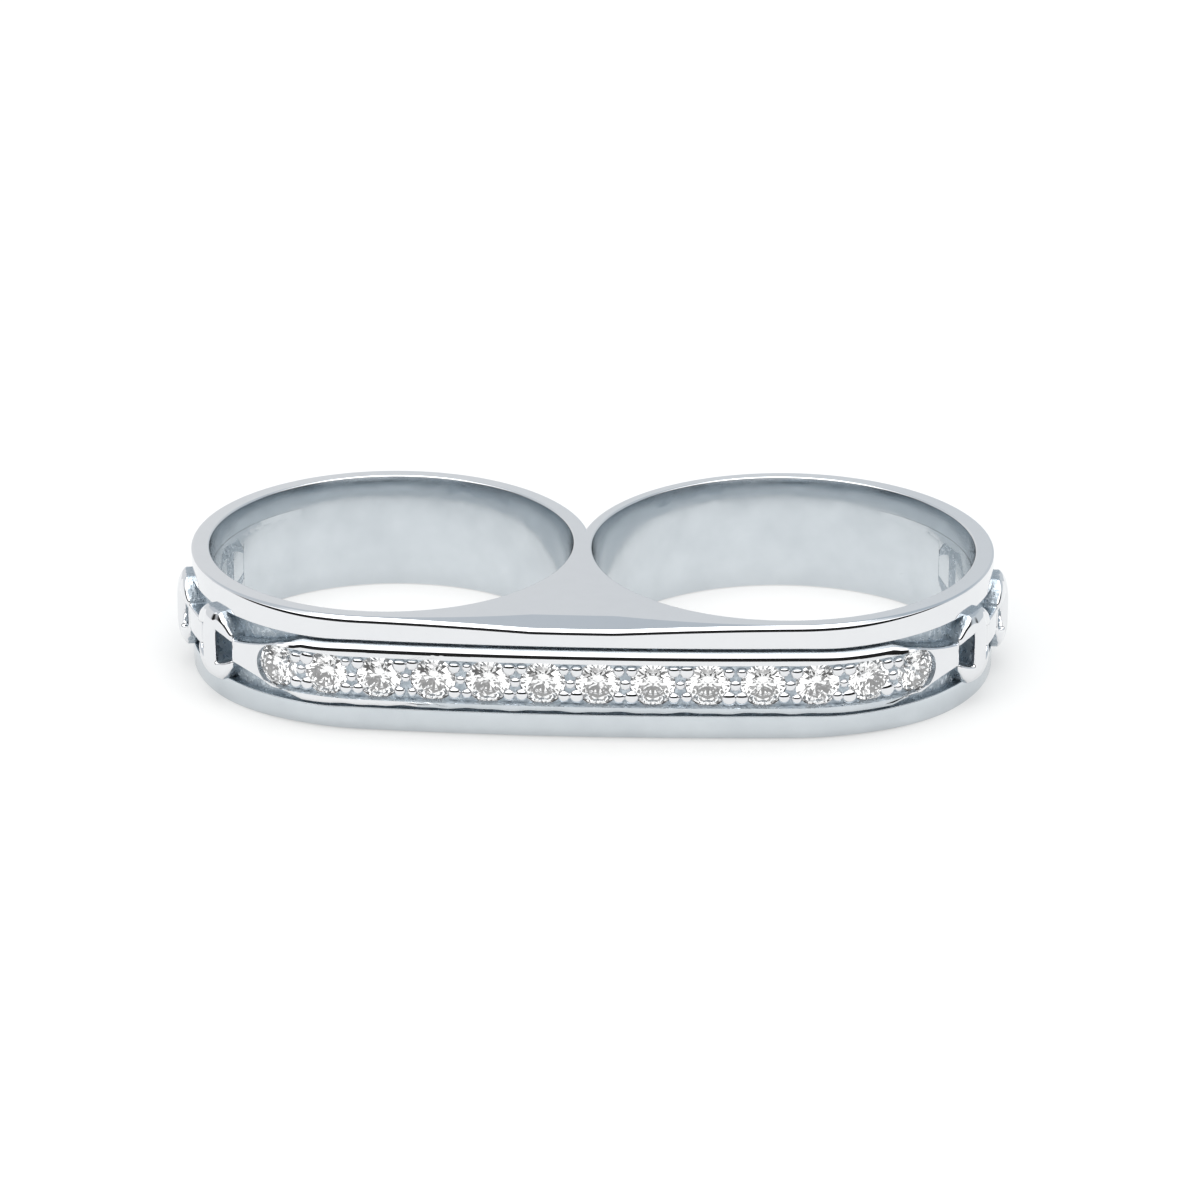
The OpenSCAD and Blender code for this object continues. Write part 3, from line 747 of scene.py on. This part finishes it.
# A slab with rounded upper edges, from its outline along the wall and up it
def block(bm, outline, low, high, soft):
    base = [bm.verts.new((x, low, z)) for x, z in outline]
    foot = bm.faces.new(base)
    made = bmesh.ops.extrude_face_region(bm, geom=[foot], use_keep_orig=True)["geom"]
    tops = [item for item in made if isinstance(item, bmesh.types.BMVert)]
    bmesh.ops.translate(bm, vec=(0, high - low, 0), verts=tops)
    rim = [item for item in made if isinstance(item, bmesh.types.BMEdge)]
    bmesh.ops.bevel(bm, geom=rim, offset=soft, segments=3, profile=0.5, affect="EDGES", material=-1)


def makeChain(name, loop, settings):
    bm = bmesh.new()
    scale = loop["r"] / (loop["r"] + bar["proud"])
    link, gap = settings["link"] * scale, settings["gap"] * scale
    centres = [link / 2 + k * (link + gap) for k in range(settings["links"])]
    top, half, low = heights["halfSlot"] + settings["overlap"], settings["stud"] / 2, -settings["depth"]
    tip = link / 2 + settings["overlap"]
    arm = [(x, top) for x in settings["along"]] + [settings["shoulder"]]
    arm += [(tip, z) for z in settings["tip"]] + settings["window"]
    for centre in centres:
        block(bm, [(centre - half, -top), (centre + half, -top), (centre + half, top), (centre - half, top)],
              low, settings["proud"], settings["soft"])
        for a in (-1, 1):
            for b in (-1, 1):
                block(bm, [(centre + a * x, b * z) for x, z in arm], low, settings["armProud"],
                      settings["soft"])
    for centre in centres[:-1]:
        start = centre + link / 2 - settings["connectorLap"]
        end, high = centre + link / 2 + gap + settings["connectorLap"], heights["halfEnd"]
        block(bm, [(start, -high), (end, -high), (end, high), (start, high)],
              low, settings["connectorProud"], settings["soft"])
    bmesh.ops.recalc_face_normals(bm, faces=bm.faces)
    raw = bpy.data.meshes.new(name)
    bm.to_mesh(raw)
    bm.free()
    piece = showPiece(name, raw, "ring_body")
    melt = piece.modifiers.new("melt", "REMESH")
    melt.mode = "VOXEL"
    melt.voxel_size = settings["voxel"]
    soften = piece.modifiers.new("soften", "SMOOTH")
    soften.factor = settings["smoothBy"]
    soften.iterations = settings["smooth"]
    finished = piece.evaluated_get(bpy.context.evaluated_depsgraph_get())
    melted = bpy.data.meshes.new_from_object(finished)
    piece.modifiers.clear()
    bm = bmesh.new()
    bm.from_mesh(melted)
    proudLayer = bm.verts.layers.float.new("proud")
    for v in bm.verts:
        x, proud, z = v.co
        place = placeOn(loop, loop["barEnd"] + loop["side"] * x / loop["r"])
        near = min(min(abs(x - centre) for centre in centres) / (link / 2), 1.0)
        if proud > 0:
            fallUp = 1 - settings["domeUp"] * (z / heights["halfSlot"]) ** 4
            proud *= (1 - settings["dome"] * near ** 2) * fallUp
        else:
            proud *= boreDepth(place, loop["hole"], middle + z) / settings["depth"]
        v[proudLayer] = proud
        v.co = spot(place, proud, middle + z) * toMetres
    bm.normal_update()
    bmesh.ops.recalc_face_normals(bm, faces=bm.faces)
    if bm.calc_volume(signed=True) < 0:
        bmesh.ops.reverse_faces(bm, faces=bm.faces)
    for face in bm.faces:
        centre = face.calc_center_median() / toMetres
        proud = sum(v[proudLayer] for v in face.verts) / len(face.verts)
        away = Vector((centre.x - loop["x"], centre.y - loop["y"], 0)).normalized()
        steep = 1 - ease(face.normal.dot(away) / settings["sideFrom"])
        ragged = settings["ragged"] * noise.noise(centre / settings["raggedMm"])
        face.material_index = int(proud < settings["polishedTo"] + settings["sidePolish"] * steep + ragged)
        face.smooth = True
    bm.to_mesh(melted)
    bm.free()
    melted.attributes.remove(melted.attributes["proud"])
    for finish in (polished, asCast):
        melted.materials.append(finish)
    piece.data = melted
    print(name, "melted into", len(melted.polygons), "faces")


for name in ("left", "right"):
    makeChain("chain_" + name, plan[name], chain)

# Five grains of metal fill each gap and lap over the stones' edges. Noise makes their sizes and heights
# uneven, and its rates are those along the bar, within a gap and up it
grains = {"radius": 0.32, "rise": 0.24, "across": 0.3, "up": 0.66, "middleSize": 0.85, "sink": 0.03,
          "sizeNoise": 0.4, "sizeRates": (3.1, 7, 5), "placeNoise": 0.1, "placeRates": (2.3, 9, 4)}
bm = bmesh.new()
for k in range(bar["stones"] - 1):
    centre = firstRun + (k + 0.5) * bar["pitch"]
    spots = [(a * grains["across"], b * grains["up"], 1.0) for a in (-1, 1) for b in (-1, 1)]
    for x, z, size in [(0, 0, grains["middleSize"])] + spots:
        place, _ = barPlace(centre + x)
        far, near, up = grains["sizeRates"]
        size *= 1 + grains["sizeNoise"] * noise.noise(Vector((centre * far, x * near, z * up)))
        far, near, up = grains["placeRates"]
        z += grains["placeNoise"] * noise.noise(Vector((x * near, centre * far, z * up)))
        r = grains["radius"] * size
        middlePoint = spot(place, bar["proud"] - bar["channelDepth"] - grains["sink"], middle + z)
        onWall = Matrix.Translation(middlePoint) @ Matrix.Rotation(place[3], 4, "Z")
        bmesh.ops.create_icosphere(bm, subdivisions=3, radius=1.0,
                                   matrix=onWall @ Matrix.Diagonal((r, grains["rise"], r, 1)))
bmesh.ops.scale(bm, vec=(toMetres,) * 3, verts=bm.verts)
for face in bm.faces:
    face.smooth = True
mesh = bpy.data.meshes.new("grains")
bm.to_mesh(mesh)
bm.free()
mesh.materials.append(polished)
showPiece("grains", mesh, "ring_body")

# The stones are the CAD's own brilliants, with flat facets
for name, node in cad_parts.items():
    if name.startswith("stone_"):
        node.data.materials.clear()
        node.data.materials.append(diamond)
print("grains and stones made")

# A white table under a soft white studio. The table glows like a light table, which keeps the shadow faint
studio = {"table": "#a8a8a7", "tableGlow": 0.45, "tableRough": 0.7, "tableMm": 4000,
          "keySizeMm": 330, "keyPlaceMm": (0, 0, 450), "keyWatts": 0.9,
          "fillSizeMm": 250, "fillPlaceMm": (-450, -350, 350), "fillWatts": 0.2}
bm = bmesh.new()
bmesh.ops.create_grid(bm, x_segments=1, y_segments=1, size=studio["tableMm"] / 2 * toMetres)
mesh = bpy.data.meshes.new("table")
bm.to_mesh(mesh)
bm.free()
table = bpy.data.objects.new("table", mesh)
bpy.context.scene.collection.objects.link(table)
paper = bpy.data.materials.new("white paper")
paper.use_nodes = True
sheet = paper.node_tree.nodes["Principled BSDF"].inputs
sheet["Base Color"].default_value = srgb(studio["table"])
sheet["Roughness"].default_value = studio["tableRough"]
sheet["Emission Color"].default_value = (1, 1, 1, 1)
sheet["Emission Strength"].default_value = studio["tableGlow"]
mesh.materials.append(paper)

world = bpy.data.worlds.new("studio")
bpy.context.scene.world = world
world.use_nodes = True
tree = world.node_tree
tree.nodes.clear()
parts = addNode(tree, "SeparateXYZ", links={"Vector": addNode(tree, "TexCoord").outputs["Generated"]})


# The studio's walls as stops of height, from 0 at the horizon to 1 overhead, brightness, and how bluish it
# is. The dark band above the horizon in front draws the metal's black lines. The wall behind is a little
# bluer and darker on the right. The two walls run into each other over a short reach, and so do the tints
room = {"behind": [(0.0, 0.83, 0), (0.46, 0.83, 0), (0.56, 0.66, 0.05), (0.93, 0.66, 0.05), (0.97, 1.3, 0)],
        "before": [(0.0, 1.15, 0), (0.03, 1.15, 0), (0.06, 0.02, 0), (0.42, 0.02, 0), (0.5, 1.9, 0),
                   (1.0, 1.9, 0)],
        "tintLeft": (0.98, 1, 1.02, 1), "tintRight": (0.79, 0.85, 0.9, 1), "tintReach": 0.12, "reach": 0.15}


def skyRamp(stops):
    node = addNode(tree, "ValToRGB", links={"Fac": parts.outputs["Z"]})
    points = node.color_ramp.elements
    points.remove(points[-1])
    for k, (height, value, cool) in enumerate(stops):
        point = points[0] if k == 0 else points.new(height)
        point.position = height
        point.color = (value * (1 - cool), value, value * (1 + cool), 1)
    return node.outputs["Color"]


behind, before = skyRamp(room["behind"]), skyRamp(room["before"])
across = addNode(tree, "MapRange", {"From Min": -room["tintReach"], "From Max": room["tintReach"]},
                 {"Value": parts.outputs["X"]})
cool = addNode(tree, "Mix", {"data_type": "RGBA", "A": room["tintLeft"], "B": room["tintRight"]},
               {"Factor": across.outputs["Result"]})
cooled = addNode(tree, "Mix", {"data_type": "RGBA", "blend_type": "MULTIPLY", "Factor": 1.0},
                 {"A": behind, "B": cool.outputs["Result"]})
sides = addNode(tree, "MapRange", {"From Min": -room["reach"], "From Max": room["reach"]},
                {"Value": parts.outputs["Y"]})
whole = addNode(tree, "Mix", {"data_type": "RGBA"},
                {"Factor": sides.outputs["Result"], "A": before, "B": cooled.outputs["Result"]})
sky = addNode(tree, "Background", links={"Color": whole.outputs["Result"]})
addNode(tree, "OutputWorld", links={"Surface": sky.outputs["Background"]})

for name in ("key", "fill"):
    data = bpy.data.lights.new(name, "AREA")
    data.shape = "SQUARE"
    data.size = studio[name + "SizeMm"] * toMetres
    data.energy = studio[name + "Watts"]
    lamp = bpy.data.objects.new(name, data)
    lamp.location = Vector(studio[name + "PlaceMm"]) * toMetres
    lamp.rotation_euler = (-lamp.location).to_track_quat("-Z", "Y").to_euler()
    bpy.context.scene.collection.objects.link(lamp)

# The camera stands where the photo's own outlines put it
view = {"azimuth": 2.0, "elevation": 22.9, "distanceMm": 300.0, "targetMm": (-0.5649, 0.3237, 0.0),
        "lensMm": 185.9, "sensorMm": 36, "shiftX": 0.0162, "shiftY": 0.0459, "nearMm": 10, "farMm": 10000}
around, above = math.radians(view["azimuth"]), math.radians(view["elevation"])
away = Vector((math.sin(around) * math.cos(above), -math.cos(around) * math.cos(above), math.sin(above)))
lens = bpy.data.cameras.new("camera")
lens.lens = view["lensMm"]
lens.sensor_width = view["sensorMm"]
lens.shift_x = view["shiftX"]
lens.shift_y = view["shiftY"]
lens.clip_start = view["nearMm"] * toMetres
lens.clip_end = view["farMm"] * toMetres
lens.dof.use_dof = False
camera = bpy.data.objects.new("camera", lens)
camera.location = (Vector(view["targetMm"]) + away * view["distanceMm"]) * toMetres
camera.rotation_euler = (-away).to_track_quat("-Z", "Y").to_euler()
bpy.context.scene.collection.objects.link(camera)
bpy.context.scene.camera = camera
bpy.context.scene.view_settings.view_transform = "Standard"
print("studio made")
